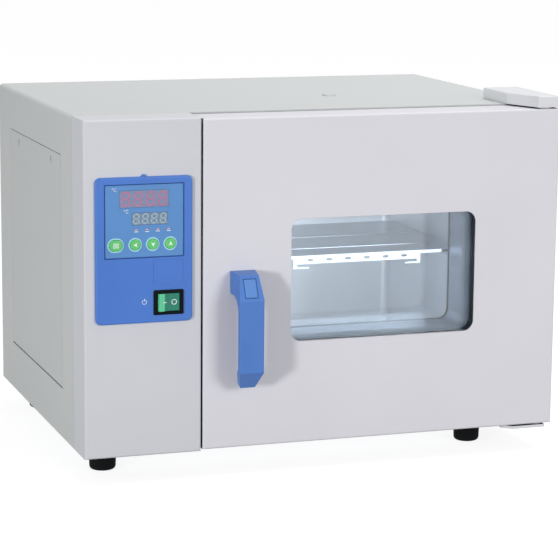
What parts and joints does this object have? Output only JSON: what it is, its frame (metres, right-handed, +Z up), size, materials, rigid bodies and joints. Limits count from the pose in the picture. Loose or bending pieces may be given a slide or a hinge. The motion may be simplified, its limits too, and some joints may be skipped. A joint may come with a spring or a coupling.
{
  "type": "laboratory incubator",
  "caption": "Bench-top laboratory incubator with a side-hinged windowed door, quarter-turn lever handle and control panel.",
  "frame": {"origin": "centre of the bounding box's bottom face, on the table plane under the feet", "axes": "+X towards the door's hinge side (the right of someone facing the door), -Y out of the front, +Z up"},
  "size_m": [0.53, 0.4418, 0.392],
  "materials": {
    "body_paint": "fine textured pale grey powder coat",
    "side_paint": "fine textured pale grey powder coat",
    "front_paint": "fine textured pale grey powder coat",
    "frame_paint": "fine textured pale grey powder coat",
    "hinge_paint": "fine textured pale grey powder coat",
    "base_sheet": "galvanised sheet",
    "back_sheet": "satin grey powder coat",
    "liner_steel": "brushed",
    "shelf_steel": "brushed",
    "probe_steel": "polished",
    "port_steel": "satin",
    "pin_steel": "satin",
    "screw_steel": "zinc plated",
    "spring_steel": "satin",
    "latch_steel": "zinc plated",
    "sleeve_sheet": "satin",
    "spacer_plastic": "satin",
    "window_glass": "clear",
    "wool": "mineral wool",
    "inlet_plastic": "satin",
    "pocket_plastic": "satin",
    "bush_plastic": "satin",
    "bezel_plastic": "fine satin",
    "display_plastic": "satin film",
    "upper_window": "tinted clear",
    "lower_window": "tinted clear",
    "lamp_plastic": "frosted",
    "halo_plastic": "satin",
    "button_plastic": "satin",
    "switch_plastic": "satin",
    "rocker_plastic": "gloss",
    "handle_plastic": "fine satin",
    "board_laminate": "solder mask",
    "heater_rubber": "moulded mat",
    "foot_rubber": "moulded",
    "plug_rubber": "moulded",
    "gasket_rubber": "extruded",
    "seal_rubber": "extruded"
  },
  "bodies": {
    "cabinet": {"outer_shell": "body_paint", "base_pan": "base_sheet", "back_panel": "back_sheet", "back_screws": "screw_steel", "power_inlet": "inlet_plastic", "inlet_pins": "pin_steel", "partition": "base_sheet", "front_frame": "frame_paint", "latch_pocket": "pocket_plastic", "chamber_liner": "liner_steel", "insulation": "wool", "heater_pad": "heater_rubber", "temperature_probe": "probe_steel", "shelf_rails": "shelf_steel", "shelf": "shelf_steel", "control_fascia": "front_paint", "panel_bezel": "bezel_plastic", "display_plate": "display_plastic", "display_upper": "upper_window", "display_lower": "lower_window", "indicator_lamps": "lamp_plastic", "controller_board": "board_laminate", "button_rings": "halo_plastic", "switch_housing": "switch_plastic", "side_cover": "side_paint", "cover_frame": "side_paint", "cover_screws": "screw_steel", "power_board": "board_laminate", "feet": "foot_rubber", "foot_screws": "screw_steel", "port_tube": "port_steel", "hinge_top_plate": "hinge_paint", "hinge_top_cap": "hinge_paint", "hinge_bottom_plate": "hinge_paint", "keeper_spring": "spring_steel"},
    "door": {"door_outer_pan": "front_paint", "door_inner_pan": "liner_steel", "door_insulation": "wool", "door_seal": "seal_rubber", "window_gasket": "gasket_rubber", "window_outer_pane": "window_glass", "window_spacer": "spacer_plastic", "window_sleeve": "sleeve_sheet", "window_inner_pane": "window_glass", "hinge_bushes": "bush_plastic", "handle_bush": "bush_plastic"},
    "handle": {"handle_lever": "handle_plastic", "handle_cap": "handle_plastic", "handle_spindle": "pin_steel", "latch_arm": "latch_steel", "latch_nut": "screw_steel"},
    "rocker": {"switch_rocker": "rocker_plastic"},
    "set_key": {"button_set": "button_plastic"},
    "left_key": {"button_left": "button_plastic"},
    "down_key": {"button_down": "button_plastic"},
    "up_key": {"button_up": "button_plastic"},
    "plug": {"port_plug": "plug_rubber"}
  },
  "joints": [
    {"name": "door_hinge", "type": "hinge", "parent": "cabinet", "child": "door", "pos_m": [0.251, -0.17435, 0.204], "axis": [0, 0, 1], "range_deg": [0, 115], "deforming": ["keeper_spring"]},
    {"name": "handle_turn", "type": "hinge", "parent": "door", "child": "handle", "pos_m": [-0.0955, -0.18635, 0.207], "axis": [0, -1, 0], "range_deg": [0, 90]},
    {"name": "rocker_tip", "type": "hinge", "parent": "cabinet", "child": "rocker", "pos_m": [-0.1765, -0.18874, 0.1905], "axis": [0, 0, -1], "range_deg": [0, 18]},
    {"name": "set_press", "type": "slide", "parent": "cabinet", "child": "set_key", "axis": [0, 1, 0], "range_m": [0, 0.0008], "stiffness_N_per_m": 300},
    {"name": "left_press", "type": "slide", "parent": "cabinet", "child": "left_key", "axis": [0, 1, 0], "range_m": [0, 0.0008], "stiffness_N_per_m": 300},
    {"name": "down_press", "type": "slide", "parent": "cabinet", "child": "down_key", "axis": [0, 1, 0], "range_m": [0, 0.0008], "stiffness_N_per_m": 300},
    {"name": "up_press", "type": "slide", "parent": "cabinet", "child": "up_key", "axis": [0, 1, 0], "range_m": [0, 0.0008], "stiffness_N_per_m": 300},
    {"name": "plug_lift", "type": "slide", "parent": "cabinet", "child": "plug", "axis": [0, 0, 1], "range_m": [0, 0.03]}
  ]
}
